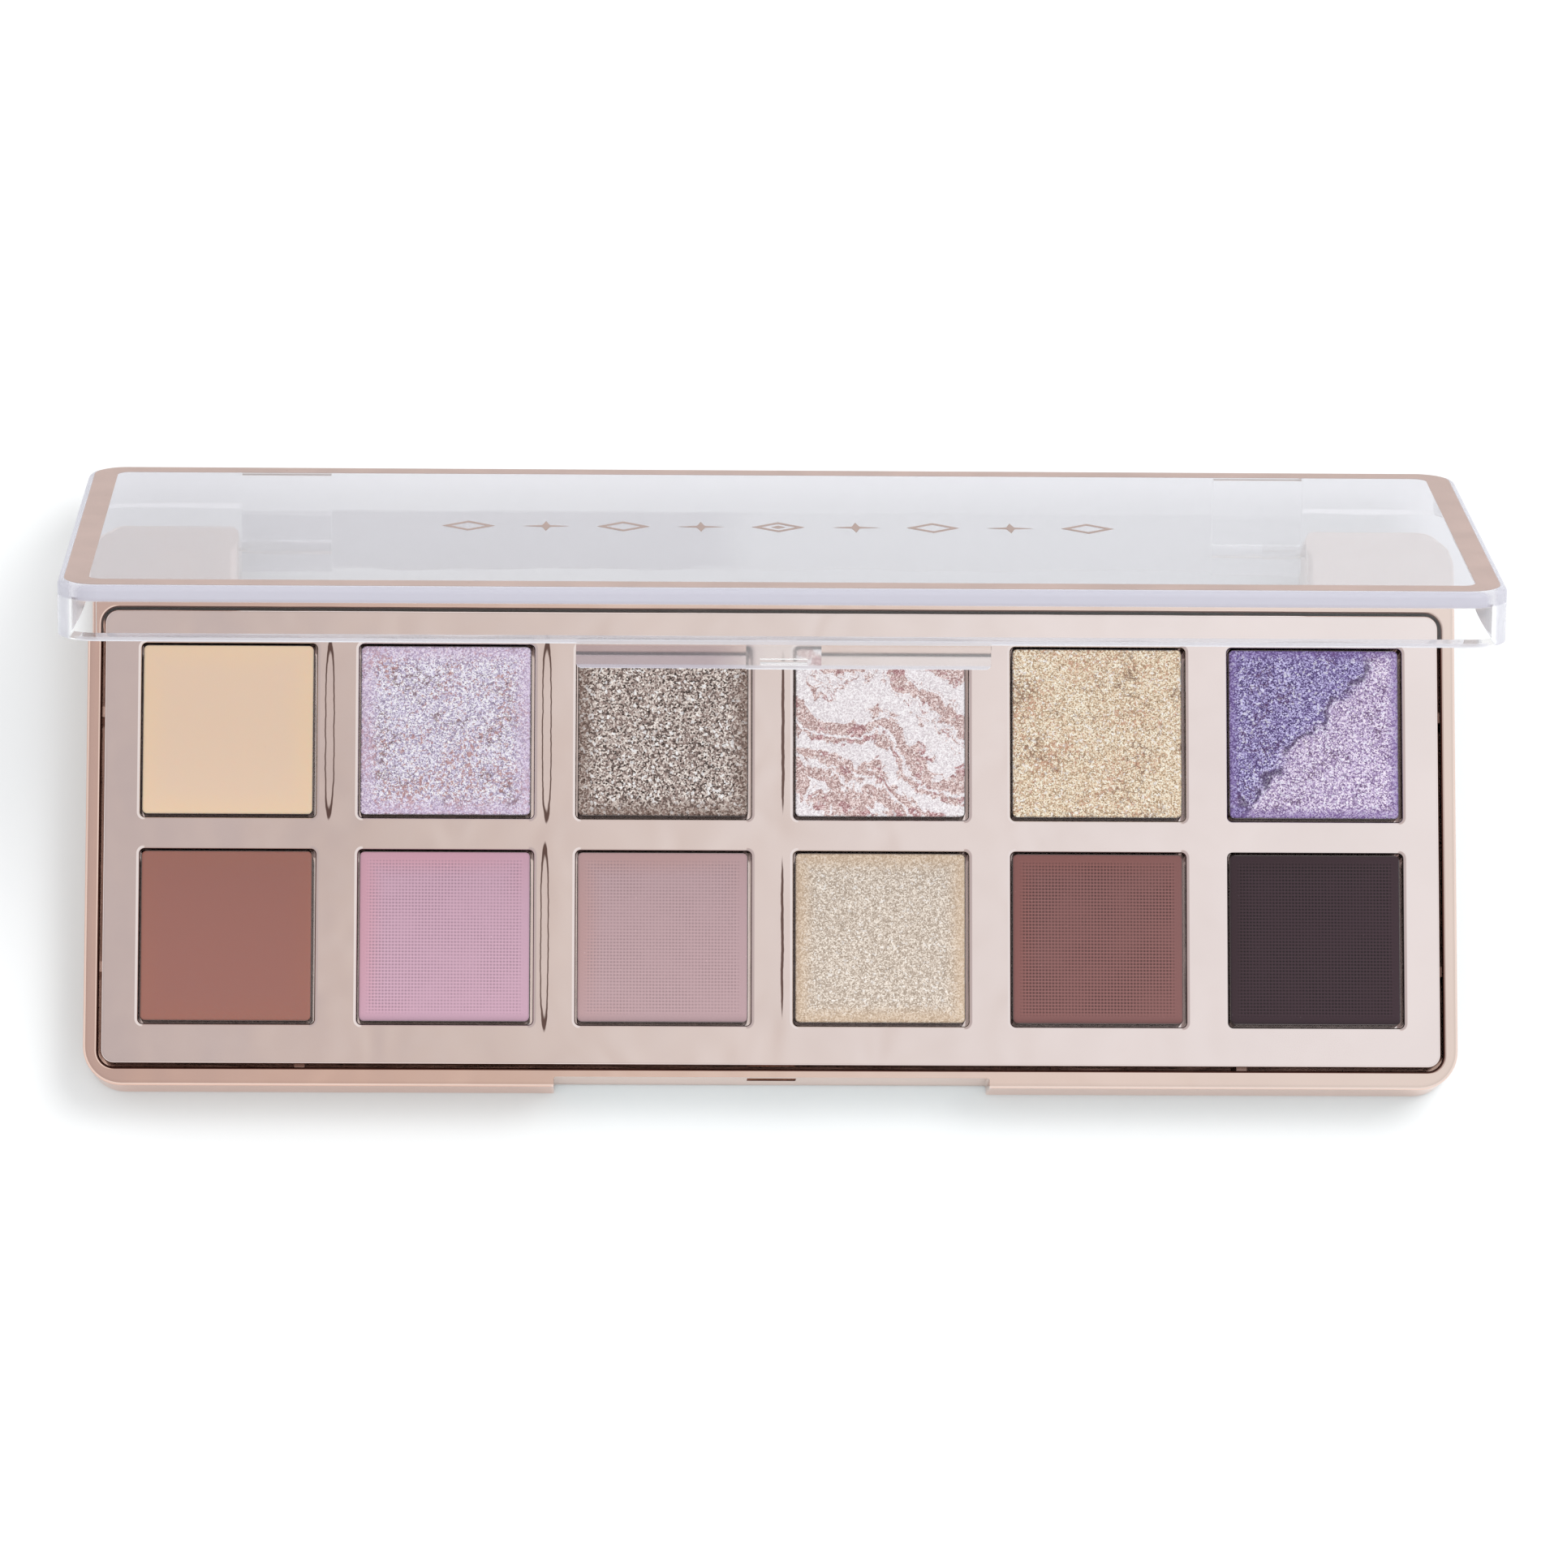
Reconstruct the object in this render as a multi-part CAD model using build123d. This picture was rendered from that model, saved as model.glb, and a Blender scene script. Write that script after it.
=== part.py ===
"""Twelve-well eyeshadow palette: metallised tray, raised pan carrier, hinged clear lid.

Millimetres, +Z up. The origin is the centre of the tray's underside, +X runs along the
long side and +Y towards the hinge. The lid is drawn closed and then turned open.
"""
from build123d import *
import math
import os

# Overall sizes
WIDTH = 160.0
DEPTH = 64.3
BASE_HEIGHT = 10.0
LID_HEIGHT = 6.2
CORNER_RADIUS = 4.5
FRONT = -DEPTH / 2
REAR = DEPTH / 2

# Hinge axis, parallel to X, and the angle the lid stands open at
HINGE_Y = REAR - 1.65
HINGE_Z = BASE_HEIGHT - 4.25
OPEN_ANGLE = 68.7

# Tray
FLOOR = 1.5
GAP = 0.35
SIDE_WALL = 1.8
FRONT_WALL = 2.1
REAR_WALL = 1.5
TOP_ROUND = 0.9
UNDERSIDE_ROUND = 0.5
INNER_ROUND = 0.4
RECESS_WIDTH = 50.7
RECESS_DEPTH = 1.1
CATCH_SLOT_WIDTH = 5.7
CATCH_SLOT_LOW = BASE_HEIGHT - 4.6
CATCH_SLOT_HIGH = BASE_HEIGHT - 1.4
LEDGE_DEPTH = 0.5
LEDGE_START = 2.85
LEDGE_RAMP = 1.3
LEDGE_CORNER = 2.2
SWING_RADIUS = 4.15
RIB_WIDTH = 1.2
RIB_HEIGHT = 4.5

# Pan carrier
CARRIER_HALF_WIDTH = WIDTH / 2 - SIDE_WALL - GAP
CARRIER_FRONT = FRONT + FRONT_WALL + GAP
CARRIER_REAR = 23.5
CARRIER_CORNER = 1.5
CARRIER_TOP = BASE_HEIGHT + 1.0
CARRIER_PLATE = 1.2
CARRIER_SKIRT = 1.0
CARRIER_ROUND = 0.45
WELL = 20.4
WELL_CORNER = 0.55
WELL_WALL = 0.9
WELL_LIP = 0.4
COLUMNS = 6
COLUMN_PITCH = 25.35
ROW_Y = {"rear": 9.25, "front": -14.9}

# Metal pans, their fillings and the glue under them
PAN = 19.9
PAN_CORNER = 0.7
PAN_HEIGHT = 4.0
PAN_SHEET = 0.2
PAN_RIM_ROUND = 0.08
PAN_SHIFT = (-0.1, 0.08)
PAN_TOP = CARRIER_TOP - 0.3
PAN_BOTTOM = PAN_TOP - PAN_HEIGHT
FILL_BELOW_RIM = 0.05
FILL_ROUND = 0.3
GLUE_RADIUS = 5.0
GLUE_THICKNESS = 0.15
WELL_FLOOR_TOP = PAN_BOTTOM - GLUE_THICKNESS

# Hinge bay between the tray's two rear corner blocks
BAY_HALF_WIDTH = 62.5
BAY_FRONT = CARRIER_REAR + GAP + REAR_WALL
PIN_RADIUS = 0.75
PIN_BORE_RADIUS = 0.8
PIN_REACH = 6.0
PIN_BORE_DEPTH = 6.3
KNURL_LENGTH = 4.0
KNURL_CREST = 0.86
KNURL_ROOT = 0.74
KNURL_TEETH = 18

# Lid
LID_PLATE = 1.7
LID_WALL = 1.5
LID_TOP_ROUND = 0.7
LID_LEAD_IN = 0.7
TONGUE_SIDE_GAP = 0.3
TONGUE_BOTTOM = HINGE_Z - 2.8
TONGUE_ROUND = 0.6
KNUCKLE_WIDTH = 10.5
KNUCKLE_FRONT = REAR - 3.55
TAB_WIDTH = 45.7
TAB_DROP = 2.75
TAB_ROOT = 0.95
TAB_EDGE = 0.45
TAB_CORNER = 0.6
CATCH_PAD_WIDTH = 8.3
CATCH_PAD_FACE = 0.98
CATCH_PAD_DROP = 2.85
CATCH_BUMP_WIDTH = 5.2
CATCH_BUMP_RADIUS = 0.4
CATCH_BUMP_Z = BASE_HEIGHT - 2.1

# Foil stamped on the lid's top face
FOIL = 0.04
BORDER_INSET = 0.75
BORDER_WIDTH = 2.7
MOTIF_PITCH = 8.8
MOTIF_HALF_HEIGHT = 2.6
MOTIF_LINE = 0.62

LID_TOP = BASE_HEIGHT + LID_HEIGHT
OVERSHOOT = 1.0


def block(x0, x1, y0, y1, z0, z1):
    """A box given by its limits."""
    centre = Pos((x0 + x1) / 2, (y0 + y1) / 2, (z0 + z1) / 2)
    return centre * Box(x1 - x0, y1 - y0, z1 - z0)


def rounded_block(x0, x1, y0, y1, z0, z1, corner):
    """A box given by its limits, with its four upright edges rounded."""
    outline = RectangleRounded(x1 - x0, y1 - y0, corner)
    return Pos((x0 + x1) / 2, (y0 + y1) / 2, z0) * extrude(outline, z1 - z0)


def x_cylinder(radius, x0, x1):
    """A cylinder on the hinge axis between two X positions."""
    return Pos((x0 + x1) / 2, HINGE_Y, HINGE_Z) * Rot(0, 90, 0) * Cylinder(radius, x1 - x0)


def square_at(x, y, side, z0, z1, corner):
    """An upright square block with rounded corners, centred on a pan position."""
    half = side / 2
    return rounded_block(x - half, x + half, y - half, y + half, z0, z1, corner)


def pan_places():
    """Name and centre of each of the twelve pan positions."""
    places = []
    for row, y in ROW_Y.items():
        for column in range(COLUMNS):
            x = (column - (COLUMNS - 1) / 2) * COLUMN_PITCH
            places.append((f"{row}_{column + 1}", x, y))
    return places


def edges_inside(part, z, x_limit, y_low, y_high):
    """The edges that lie wholly in the plane z, within the given limits."""
    margin = 0.02
    found = []
    for edge in part.edges():
        box = edge.bounding_box()
        level = abs(box.min.Z - z) < margin and abs(box.max.Z - z) < margin
        inside_x = max(abs(box.min.X), abs(box.max.X)) < x_limit + margin
        inside_y = box.min.Y > y_low - margin and box.max.Y < y_high + margin
        if level and inside_x and inside_y:
            found.append(edge)
    return found


# ---------------------------------------------------------------- tray

def base_outline():
    """Plan of the tray, with the hinge bay behind and all corners eased."""
    bay = Pos(0, BAY_FRONT + DEPTH / 2) * Rectangle(2 * BAY_HALF_WIDTH, DEPTH)
    outline = RectangleRounded(WIDTH, DEPTH, CORNER_RADIUS) - bay
    straight_x = WIDTH / 2 - CORNER_RADIUS - 1
    convex = [v for v in outline.vertices()
              if abs(v.Y - REAR) < 0.01 and abs(v.X) < straight_x]
    outline = fillet(convex, 1.0)
    concave = [v for v in outline.vertices() if abs(v.Y - BAY_FRONT) < 0.01]
    return fillet(concave, 0.3)


def swing_relief():
    """Space that the lid's rear wall sweeps over the tray's rear corners."""
    start = (HINGE_Y - 0.6, BASE_HEIGHT)
    crest = (HINGE_Y, HINGE_Z + SWING_RADIUS)
    turn = math.radians(48)
    half_turn = turn / 2
    middle = (HINGE_Y + SWING_RADIUS * math.sin(half_turn),
              HINGE_Z + SWING_RADIUS * math.cos(half_turn))
    end = (HINGE_Y + SWING_RADIUS * math.sin(turn), HINGE_Z + SWING_RADIUS * math.cos(turn))
    over = BASE_HEIGHT + OVERSHOOT
    path = Line(start, crest) + ThreePointArc(crest, middle, end)
    path += Polyline(end, (end[0], over), (start[0], over), start)
    across = Plane(origin=(-WIDTH, 0, 0), x_dir=(0, 1, 0), z_dir=(1, 0, 0))
    return extrude(across * make_face(path), 2 * WIDTH)


def finger_recess():
    """Space cut out of the tray's front for the lid's tab and a fingertip."""
    half = RECESS_WIDTH / 2
    return rounded_block(-half, half, FRONT - RECESS_DEPTH, FRONT + RECESS_DEPTH,
                         -OVERSHOOT, BASE_HEIGHT + OVERSHOOT, 0.3)


def hinge_ledge(side):
    """Lower shelf behind a ramp, under one rear corner of the closed lid."""
    start = REAR - LEDGE_START
    shelf = BASE_HEIGHT - LEDGE_DEPTH
    over, behind = BASE_HEIGHT + OVERSHOOT, REAR + 3 * OVERSHOOT
    profile = Polyline((start, BASE_HEIGHT), (start + LEDGE_RAMP, shelf), (behind, shelf),
                       (behind, over), (start, over), close=True)
    across = Plane(origin=(-WIDTH, 0, 0), x_dir=(0, 1, 0), z_dir=(1, 0, 0))
    near, far = sorted((side * (BAY_HALF_WIDTH - 3 * OVERSHOOT),
                        side * (WIDTH / 2 - CORNER_RADIUS)))
    limits = rounded_block(near, far, start, behind + 3 * OVERSHOOT,
                           shelf - OVERSHOOT, over, LEDGE_CORNER)
    return extrude(across * make_face(profile), 2 * WIDTH) & limits


def base_case():
    """Metallised tray with the finger recess, catch slot and hinge blocks."""
    case = extrude(base_outline(), BASE_HEIGHT)
    case = fillet(case.edges().group_by(Axis.Z)[-1], TOP_ROUND)
    case = fillet(case.edges().group_by(Axis.Z)[0], UNDERSIDE_ROUND)

    case -= finger_recess()

    half_inside = CARRIER_HALF_WIDTH + GAP
    inside_front = CARRIER_FRONT - GAP
    inside_rear = CARRIER_REAR + GAP
    case -= rounded_block(-half_inside, half_inside, inside_front, inside_rear,
                          FLOOR, BASE_HEIGHT + OVERSHOOT, CARRIER_CORNER + GAP)
    case = fillet(edges_inside(case, BASE_HEIGHT, half_inside, inside_front, inside_rear),
                  INNER_ROUND)

    case -= swing_relief()
    for side in (-1, 1):
        case -= hinge_ledge(side)
        hole = sorted((side * (BAY_HALF_WIDTH - OVERSHOOT),
                       side * (BAY_HALF_WIDTH + PIN_BORE_DEPTH)))
        case -= x_cylinder(PIN_BORE_RADIUS, *hole)

    slot_half = CATCH_SLOT_WIDTH / 2
    case -= block(-slot_half, slot_half, FRONT, inside_front + OVERSHOOT,
                  CATCH_SLOT_LOW, CATCH_SLOT_HIGH)
    return case + crush_ribs()


def crush_ribs():
    """Small upright ribs inside the tray wall that grip the carrier's skirt."""
    half = CARRIER_HALF_WIDTH
    low, high = FLOOR - 0.1, FLOOR + RIB_HEIGHT
    ribs = Part()
    for y in (-18.0, 12.0):
        for side in (-1, 1):
            x0, x1 = sorted((side * half, side * (half + GAP + 0.1)))
            ribs += block(x0, x1, y - RIB_WIDTH / 2, y + RIB_WIDTH / 2, low, high)
    for x in (-55.0, 55.0):
        x0, x1 = x - RIB_WIDTH / 2, x + RIB_WIDTH / 2
        ribs += block(x0, x1, CARRIER_FRONT - GAP - 0.1, CARRIER_FRONT, low, high)
        ribs += block(x0, x1, CARRIER_REAR, CARRIER_REAR + GAP + 0.1, low, high)
    return ribs


# ---------------------------------------------------------------- carrier and pans

def pan_carrier():
    """Raised plate with twelve cups for the pans and a skirt that stands on the tray floor."""
    half = CARRIER_HALF_WIDTH
    carrier = rounded_block(-half, half, CARRIER_FRONT, CARRIER_REAR,
                            FLOOR, CARRIER_TOP, CARRIER_CORNER)
    carrier = fillet(carrier.edges().group_by(Axis.Z)[-1], CARRIER_ROUND)
    carrier -= rounded_block(-half + CARRIER_SKIRT, half - CARRIER_SKIRT,
                             CARRIER_FRONT + CARRIER_SKIRT, CARRIER_REAR - CARRIER_SKIRT,
                             FLOOR - OVERSHOOT, CARRIER_TOP - CARRIER_PLATE,
                             CARRIER_CORNER - CARRIER_SKIRT)
    cup_side = WELL + 2 * WELL_WALL
    cup_bottom = WELL_FLOOR_TOP - 1.0
    for _, x, y in pan_places():
        carrier += square_at(x, y, cup_side, cup_bottom, CARRIER_TOP - CARRIER_PLATE / 2,
                             WELL_CORNER + WELL_WALL)
        carrier -= square_at(x, y, WELL, WELL_FLOOR_TOP, CARRIER_TOP + OVERSHOOT, WELL_CORNER)
    lips = edges_inside(carrier, CARRIER_TOP, half - 1.0, CARRIER_FRONT + 1.0,
                        CARRIER_REAR - 1.0)
    return fillet(lips, WELL_LIP)


def pan(x, y):
    """Drawn metal pan, open at the top, glued in slightly off the middle of its well."""
    x, y = x + PAN_SHIFT[0], y + PAN_SHIFT[1]
    body = square_at(x, y, PAN, PAN_BOTTOM, PAN_TOP, PAN_CORNER)
    body = fillet(body.edges().group_by(Axis.Z)[0], PAN_SHEET)
    body -= square_at(x, y, PAN - 2 * PAN_SHEET, PAN_BOTTOM + PAN_SHEET,
                      PAN_TOP + OVERSHOOT, PAN_CORNER - PAN_SHEET)
    return fillet(body.edges().group_by(Axis.Z)[-1], PAN_RIM_ROUND)


def filling(x, y):
    """Pressed powder or cream that fills one pan."""
    x, y = x + PAN_SHIFT[0], y + PAN_SHIFT[1]
    cake = square_at(x, y, PAN - 2 * PAN_SHEET, PAN_BOTTOM + PAN_SHEET,
                     PAN_TOP - FILL_BELOW_RIM, PAN_CORNER - PAN_SHEET)
    return fillet(cake.edges().group_by(Axis.Z)[-1], FILL_ROUND)


def glue_pads():
    """One round dot of glue under each pan."""
    height = (WELL_FLOOR_TOP + PAN_BOTTOM) / 2
    return Compound([Pos(x, y, height) * Cylinder(GLUE_RADIUS, GLUE_THICKNESS)
                     for _, x, y in pan_places()])


# ---------------------------------------------------------------- lid

def lid_shell():
    """Clear lid: plate, walls, hinge tongue with two knuckles, and the front catch tab."""
    shell = rounded_block(-WIDTH / 2, WIDTH / 2, FRONT, REAR, BASE_HEIGHT, LID_TOP,
                          CORNER_RADIUS)
    shell = fillet(shell.edges().group_by(Axis.Z)[-1], LID_TOP_ROUND)
    plate_under = LID_TOP - LID_PLATE
    shell -= rounded_block(-WIDTH / 2 + LID_WALL, WIDTH / 2 - LID_WALL,
                           FRONT + LID_WALL, REAR - LID_WALL,
                           BASE_HEIGHT - OVERSHOOT, plate_under, CORNER_RADIUS - LID_WALL)
    inner_rim = edges_inside(shell, BASE_HEIGHT, WIDTH / 2 - LID_WALL, FRONT + LID_WALL,
                             REAR - LID_WALL)
    shell = chamfer(inner_rim, LID_LEAD_IN)

    tongue_half = BAY_HALF_WIDTH - TONGUE_SIDE_GAP
    tongue = block(-tongue_half, tongue_half, REAR - LID_WALL, REAR,
                   TONGUE_BOTTOM, plate_under)
    for side in (-1, 1):
        x0, x1 = sorted((side * (tongue_half - KNUCKLE_WIDTH), side * tongue_half))
        tongue += block(x0, x1, KNUCKLE_FRONT, REAR, TONGUE_BOTTOM, plate_under + 0.1)
    lowest = tongue.edges().filter_by(Axis.X).group_by(Axis.Z)[0]
    shell += fillet(lowest, TONGUE_ROUND)
    for side in (-1, 1):
        hole = sorted((side * (tongue_half - KNUCKLE_WIDTH - OVERSHOOT),
                       side * (tongue_half + OVERSHOOT)))
        shell -= x_cylinder(PIN_BORE_RADIUS, *hole)
    return shell + catch_tab()


def catch_tab():
    """Tapered tab that drops into the tray's front recess, with its snap bump."""
    half = TAB_WIDTH / 2
    low, high = BASE_HEIGHT - TAB_DROP, BASE_HEIGHT + 0.2
    profile = Polyline((FRONT, low), (FRONT + TAB_EDGE, low), (FRONT + TAB_ROOT, BASE_HEIGHT),
                       (FRONT + TAB_ROOT, high), (FRONT, high), close=True)
    across = Plane(origin=(-half, 0, 0), x_dir=(0, 1, 0), z_dir=(1, 0, 0))
    tab = extrude(across * make_face(profile), TAB_WIDTH)
    lower_corners = tab.edges().filter_by(Axis.Y).group_by(Axis.Z)[0]
    tab = fillet(lower_corners, TAB_CORNER)
    pad_face = FRONT + CATCH_PAD_FACE
    pad_half = CATCH_PAD_WIDTH / 2
    tab += block(-pad_half, pad_half, FRONT + 0.1, pad_face,
                 BASE_HEIGHT - CATCH_PAD_DROP, high)
    bump = Rot(0, 90, 0) * Cylinder(CATCH_BUMP_RADIUS, CATCH_BUMP_WIDTH)
    return tab + Pos(0, pad_face - 0.1, CATCH_BUMP_Z) * bump


def hinge_pin(side):
    """Steel pin: knurled end fixed in the lid's knuckle, smooth end free in the tray."""
    tongue_half = BAY_HALF_WIDTH - TONGUE_SIDE_GAP
    knurl_end = tongue_half - 0.5
    tip = BAY_HALF_WIDTH + PIN_REACH
    smooth = x_cylinder(PIN_RADIUS, knurl_end, tip)
    smooth = chamfer(smooth.edges().group_by(Axis.X)[-1], 0.2)
    star = []
    for step in range(2 * KNURL_TEETH):
        radius = KNURL_CREST if step % 2 == 0 else KNURL_ROOT
        angle = math.pi * step / KNURL_TEETH
        star.append((radius * math.cos(angle), radius * math.sin(angle)))
    knurl_start = Plane(origin=(knurl_end - KNURL_LENGTH, HINGE_Y, HINGE_Z),
                        x_dir=(0, 1, 0), z_dir=(1, 0, 0))
    knurl = extrude(knurl_start * make_face(Polyline(*star, close=True)), KNURL_LENGTH)
    pin = smooth + knurl
    return pin if side > 0 else mirror(pin, Plane.YZ)


def border_foil():
    """Foil frame just inside the edge of the lid's top face."""
    outer_width, outer_depth = WIDTH - 2 * BORDER_INSET, DEPTH - 2 * BORDER_INSET
    outer = RectangleRounded(outer_width, outer_depth, CORNER_RADIUS - BORDER_INSET)
    inner = RectangleRounded(outer_width - 2 * BORDER_WIDTH,
                             outer_depth - 2 * BORDER_WIDTH, 1.5)
    return Pos(0, 0, LID_TOP) * extrude(outer - inner, FOIL)


def lozenge(x, half_width, half_height):
    """A diamond shape on the X axis."""
    corners = [(x - half_width, 0), (x, -half_height), (x + half_width, 0), (x, half_height)]
    return make_face(Polyline(*corners, close=True))


def lozenge_ring(x, half_width, half_height):
    """The outline of a diamond shape, in a line of even width."""
    inset = MOTIF_LINE * math.hypot(half_width, half_height)
    inner_width = half_width - inset / half_height
    return lozenge(x, half_width, half_height) - lozenge(
        x, inner_width, inner_width * half_height / half_width)


def sparkle(x, reach):
    """A four-pointed star with hollow sides."""
    waist = 0.24 * reach
    points = []
    for quarter in range(4):
        tip, hollow = math.pi * quarter / 2, math.pi * (quarter / 2 + 0.25)
        points.append((x + reach * math.cos(tip), reach * math.sin(tip)))
        points.append((x + waist * math.cos(hollow), waist * math.sin(hollow)))
    return make_face(Polyline(*points, close=True))


def motif_foil():
    """Plain geometric ornament: a row of diamond outlines with stars between them."""
    half = MOTIF_HALF_HEIGHT
    shapes = []
    for place in range(-4, 5):
        x = place * MOTIF_PITCH
        shapes.append(lozenge_ring(x, 1.15 * half, half) if place % 2 == 0
                      else sparkle(x, half))
    shapes.append(lozenge(0, 0.8, 0.8))
    return Compound([Pos(0, 0, LID_TOP) * extrude(shape, FOIL) for shape in shapes])


def opened(shape):
    """A lid piece turned from closed to the angle the lid stands at."""
    hinge = Axis((0, HINGE_Y, HINGE_Z), (-1, 0, 0))
    return shape.rotate(hinge, OPEN_ANGLE)


# ---------------------------------------------------------------- all nodes

def all_nodes():
    """Every sub-part by name, in place with the lid open."""
    nodes = {
        "base_case": base_case(),
        "pan_carrier": pan_carrier(),
        "pan_glue_pads": glue_pads(),
        "lid_shell": opened(lid_shell()),
        "lid_border_foil": opened(border_foil()),
        "lid_motif_foil": opened(motif_foil()),
        "hinge_pin_left": opened(hinge_pin(-1)),
        "hinge_pin_right": opened(hinge_pin(1)),
    }
    for name, x, y in pan_places():
        nodes[f"pan_{name}"] = pan(x, y)
        nodes[f"shade_{name}"] = filling(x, y)
    return nodes


os.makedirs("parts", exist_ok=True)
for node_name, node_shape in all_nodes().items():
    export_step(node_shape, f"parts/{node_name}.step")
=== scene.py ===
"""Looks for the twelve-well eyeshadow palette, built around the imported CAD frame."""

import math

import bpy
import numpy as np
from mathutils import Matrix, Vector


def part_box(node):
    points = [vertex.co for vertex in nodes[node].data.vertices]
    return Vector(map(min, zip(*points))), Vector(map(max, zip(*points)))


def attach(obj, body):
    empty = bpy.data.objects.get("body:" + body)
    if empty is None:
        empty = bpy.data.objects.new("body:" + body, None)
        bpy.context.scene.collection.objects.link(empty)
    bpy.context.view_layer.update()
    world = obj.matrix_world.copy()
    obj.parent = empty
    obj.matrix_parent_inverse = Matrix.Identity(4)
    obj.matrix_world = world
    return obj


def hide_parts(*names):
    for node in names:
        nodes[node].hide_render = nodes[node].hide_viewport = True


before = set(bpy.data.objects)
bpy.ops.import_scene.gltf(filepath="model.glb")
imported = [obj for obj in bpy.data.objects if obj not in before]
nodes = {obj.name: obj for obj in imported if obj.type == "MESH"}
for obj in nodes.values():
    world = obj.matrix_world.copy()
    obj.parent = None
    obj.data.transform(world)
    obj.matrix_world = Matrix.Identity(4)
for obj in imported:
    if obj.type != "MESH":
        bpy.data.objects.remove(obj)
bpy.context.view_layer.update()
MM = 0.001

# Camera, where the photograph was taken from: nearly overhead and a little in front
CAMERA_PLACE = Vector((-20.83, -114.37, 935.49)) * MM
CAMERA_TILT = math.radians(7.247)
CAMERA_PAN = math.radians(-1.359)
CAMERA_ROLL = math.radians(0.262)
CAMERA_LENS = 183.54
SENSOR = 36.0

# Wells, read from the frame
ROWS = ("rear", "front")
COLUMNS = range(1, 7)


def middle(node):
    """Centre of a CAD node's box."""
    low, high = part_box(node)
    return (low + high) / 2


COLUMN_PITCH = (middle("pan_rear_2").x - middle("pan_rear_1").x) / MM
ROW_Y = {row: middle(f"pan_{row}_1").y / MM for row in ROWS}

# The tray's sides, its finger recess in front, and the rear edge of the plate in it
TRAY_HALF_WIDTH, TRAY_HALF_DEPTH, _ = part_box("base_case")[1] / MM
RECESS_HALF_WIDTH = 25.3
PLATE_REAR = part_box("pan_carrier")[1].y / MM

# The lid as drawn: how far open it stands, about the line through its pins
LID_OPEN = math.radians(68.7)
HINGE = middle("hinge_pin_left") / MM
LID_HALF_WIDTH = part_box("lid_shell")[1].x / MM


# ---------------------------------------------------------------- node trees

class Nodes:
    """A node tree, with a short call for each kind of node that colours are made with."""

    def __init__(self, tree):
        self.tree = tree
        self.tree.nodes.clear()

    def feed(self, socket, value):
        """Links a socket to a socket, or sets its constant."""
        if isinstance(value, bpy.types.NodeSocket):
            self.tree.links.new(value, socket)
            return
        if socket.type == "RGBA" and len(value) == 3:
            value = (*value, 1.0)
        socket.default_value = value

    def node(self, kind, inputs=(), **settings):
        """Adds a node with its settings and its inputs, a dictionary by name or number."""
        made = self.tree.nodes.new(kind)
        for key, value in settings.items():
            setattr(made, key, value)
        for key, value in dict(inputs).items():
            self.feed(made.inputs[key], value)
        return made

    def math(self, operation, a, b=0.0):
        return self.node("ShaderNodeMath", {0: a, 1: b}, operation=operation).outputs[0]

    def vector(self, operation, a, b=(0, 0, 0)):
        return self.node("ShaderNodeVectorMath", {0: a, 1: b}, operation=operation).outputs[0]

    def scaled(self, vector, amount):
        """A vector times one number or socket."""
        made = self.node("ShaderNodeVectorMath", {0: vector, "Scale": amount}, operation="SCALE")
        return made.outputs[0]

    def parts(self, vector):
        made = self.node("ShaderNodeSeparateXYZ", {0: vector})
        return made.outputs[0], made.outputs[1], made.outputs[2]

    def remap(self, value, low, high, to_low=0.0, to_high=1.0, smooth=True):
        """Carries low to to_low and high to to_high, and holds there past either end."""
        kind = "SMOOTHSTEP" if smooth else "LINEAR"
        made = self.node("ShaderNodeMapRange",
                         {"Value": value, "From Min": low, "From Max": high,
                          "To Min": to_low, "To Max": to_high}, interpolation_type=kind)
        return made.outputs[0]

    def mix(self, amount, a, b):
        """Mixes two colours."""
        return self.node("ShaderNodeMix", {0: amount, 6: a, 7: b}, data_type="RGBA").outputs[2]

    def ramp(self, value, stops):
        """A colour ramp from a list of (position, colour)."""
        made = self.node("ShaderNodeValToRGB", {0: value})
        elements = made.color_ramp.elements
        while len(elements) < len(stops):
            elements.new(0.5)
        for element, (position, colour) in zip(elements, stops):
            element.position = position
            element.color = (*colour, 1.0)
        return made.outputs[0]


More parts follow.
